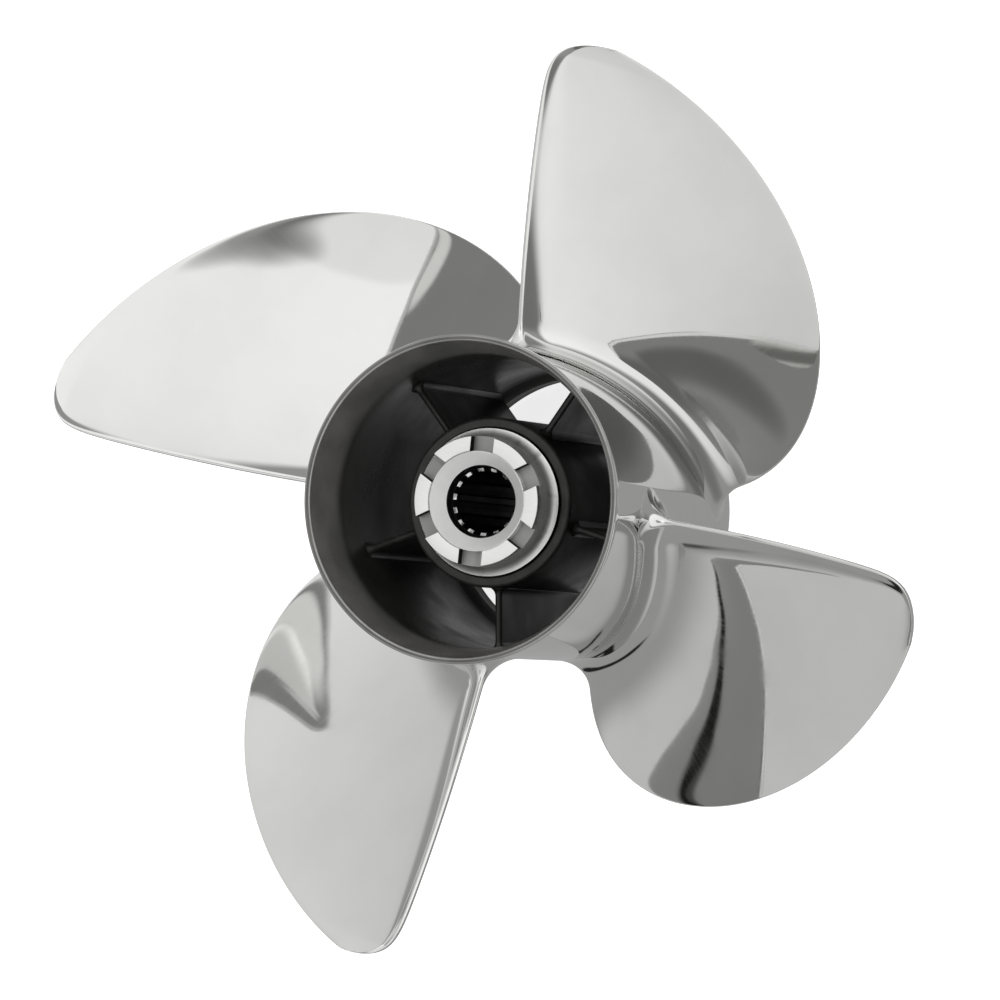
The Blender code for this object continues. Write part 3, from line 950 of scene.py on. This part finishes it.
def build_floor():
    """Plain pale floor, which the polished steel doesn't mirror."""
    bm = bmesh.new()
    bmesh.ops.create_grid(bm, x_segments=1, y_segments=1, size=FLOOR_HALF_SIZE)
    mesh = bpy.data.meshes.new("floor")
    bm.to_mesh(mesh)
    bm.free()
    floor = bpy.data.objects.new("floor", mesh)
    bpy.context.scene.collection.objects.link(floor)
    material, _, shader = new_material("pale_floor", FLOOR_COLOUR, FLOOR_ROUGHNESS, 0.0)
    shader.inputs["Emission Color"].default_value = (1.0, 1.0, 1.0, 1.0)
    shader.inputs["Emission Strength"].default_value = FLOOR_LIGHT
    mesh.materials.append(material)
    floor.visible_glossy = False


def direction(azimuth, elevation):
    """Unit vector towards a place on the studio's sky, from its azimuth and elevation."""
    azimuth, elevation = math.radians(azimuth), math.radians(elevation)
    level = math.cos(elevation)
    return (math.cos(azimuth) * level, math.sin(azimuth) * level, math.sin(elevation))


def facing(tree, way, azimuth, elevation):
    """Cosine of the angle between a unit vector and a direction."""
    return vector_node(tree, "DOT_PRODUCT", way, direction(azimuth, elevation)).outputs["Value"]


def sky_patch(tree, look, azimuth, elevation, core, edge, gain):
    """A round patch of the sky that adds a gain within the core angle and nothing past the edge angle."""
    near = facing(tree, look, azimuth, elevation)
    return ramp_node(tree, near, math.cos(math.radians(edge)), math.cos(math.radians(core)), 0.0, gain)


def build_world():
    """Studio surroundings: grey below, a paler sky that is brightest on one side, and soft patches."""
    world = bpy.data.worlds.new("studio")
    bpy.context.scene.world = world
    world.use_nodes = True
    tree = world.node_tree
    look = add_node(tree, "TexCoord").outputs["Generated"]
    lean = math_node(tree, "MULTIPLY", facing(tree, look, *BRIGHT_SIDE), SKY_LEAN)
    above = math_node(tree, "ADD", lean, SKY_GLOW - FLOOR_GLOW)
    share = ramp_node(tree, facing(tree, look, *HORIZON_UP), HORIZON_LOW, HORIZON_HIGH, 0.0, 1.0)
    glow = math_node(tree, "ADD", math_node(tree, "MULTIPLY", above, share), FLOOR_GLOW)
    for patch in SKY_PATCHES:
        glow = math_node(tree, "ADD", glow, sky_patch(tree, look, *patch))
    glow = math_node(tree, "MAXIMUM", glow, DARKEST_SKY)
    background = tree.nodes["Background"]
    background.inputs["Color"].default_value = (1.0, 1.0, 1.0, 1.0)
    tree.links.new(glow, background.inputs["Strength"])


# Finish of each face

def paint(piece, finishes, zone=None):
    """Give a piece its finishes; zone says which of them a face takes."""
    for finish in finishes:
        piece.data.materials.append(finish)
    if zone is not None:
        for face in piece.data.polygons:
            face.material_index = zone(face)


def face_place(face):
    """Radius and height of a face's middle, and how far its normal points outward."""
    centre, normal = face.center, face.normal
    radius = math.hypot(centre.x, centre.y)
    return radius, centre.z, (normal.x * centre.x + normal.y * centre.y) / radius


def barrel_zone(face):
    """0 on the polished outside, 1 inside and along the lip's crest, as painted shade on the crest, 2 on
    the lip's two edges, in lighter metal as painted highlights.
    """
    _, height, outward = face_place(face)
    on_lip = height > BARREL_LENGTH - (LIP_OUTER_R - LIP_INNER_R) / 2
    if on_lip and LIP_HIGHLIGHT_BAND[0] < outward < LIP_HIGHLIGHT_BAND[1]:
        return 1 if LIP_SHADED_CREST[0] < outward < LIP_SHADED_CREST[1] else 2
    return 0 if outward > 0.0 or height < RIM_ROUND else 1


def sleeve_zone(face):
    """0 on the turned faces, 1 in the bore, near-black as painted shade, 2 on the aft ends of the splines,
    patchy as painted glints.
    """
    radius, _, _ = face_place(face)
    if radius > SLEEVE_MOUTH_R + COLLAR_EDGE:
        return 0
    return 2 if face.normal.z > 0.4 and radius < SPLINE_ROOT_R else 1


def collar_zone(face):
    """0 on the satin cove, 1 on the tooth tops, 2 on the darker grey slot floors, 3 on the slot and outer
    walls, near-black as painted shade.
    """
    radius, height, outward = face_place(face)
    if radius > COLLAR_OUTER_R - COLLAR_EDGE and face.normal.z < 0.5:
        return 3
    if face.normal.z > 0.9 and height > COLLAR_NECK_Z:
        return 1 if height > COLLAR_TOP_Z - SLOT_DEPTH / 2 else 2
    in_slot = height > COLLAR_TOP_Z - SLOT_DEPTH and abs(outward) < 0.5 and face.normal.z < 0.5
    return 3 if in_slot else 0


def dress_blades():
    """The blades, in mirror polish."""
    polish = polished_finish("mirror_blade", 95.0, 40.0, 0.0)
    for index in range(BLADE_COUNT):
        paint(build_blade(index), [polish])


def dress_barrel():
    """The barrel, the inner tube and the ribs: polished outside and near-black casting inside."""
    polish = polished_finish("mirror_barrel", 2.5, 300.0, 900.0)
    casting = depth_shaded_finish("dark_casting", 0.36, 0.06, 0.3)
    # The lip's two edges in lighter metal, as painted highlights
    lip = cast_finish("lip_edge_highlight", LIP_HIGHLIGHT_DARK, LIP_HIGHLIGHT_LIGHT, 0.26, 0.9)
    paint(build_barrel(), [polish, inside_finish(), lip], barrel_zone)
    paint(build_hub_tube(), [casting])
    for index in range(RIB_COUNT):
        paint(build_rib(index), [casting])


def dress_core():
    """The bushing, the sleeve and the collar."""
    rings = turned_finish("turned_steel", TURNED_COLOUR, TURNED_SHADE, 0.34, 4200.0, 900.0)
    # Near-black bore with little gloss, as painted shade
    bore = cast_finish("shaded_bore", PAINTED_SHADE_DARK, PAINTED_SHADE_LIGHT, 0.6, 0.0, 0.0, 0.05)
    # Spline ends in patchy dark and bright tones, as painted glints
    tip_glints = cast_finish("glinting_spline_tip", PAINTED_SHADE_LIGHT, TURNED_COLOUR, 0.30, 0.8, 0.0, 0.5, 300.0)
    cove = cast_finish("satin_cove", COVE_DARK, COVE_LIGHT, 0.34, 0.8, 0.0)
    # Slot floors in a darker grey than the tooth tops
    floors = cast_finish("grey_slot_floor", SLOT_DARK, SLOT_LIGHT, 0.42, 0.55)
    # Near-black slot and outer walls, as painted shade
    shaded_walls = cast_finish("shaded_slot_wall", PAINTED_SHADE_DARK, CASTING_DARK, 0.6, 0.0, 0.0, 0.05)
    paint(build_bushing(), [rubber_finish()])
    paint(build_sleeve(), [rings, bore, tip_glints], sleeve_zone)
    paint(build_collar(), [cove, ground_finish(), floors, shaded_walls], collar_zone)


def build_all():
    """The stage and every piece of the part."""
    build_camera()
    build_floor()
    build_world()
    dress_barrel()
    dress_core()
    dress_blades()
    bpy.context.scene.view_settings.view_transform = "Standard"


build_all()
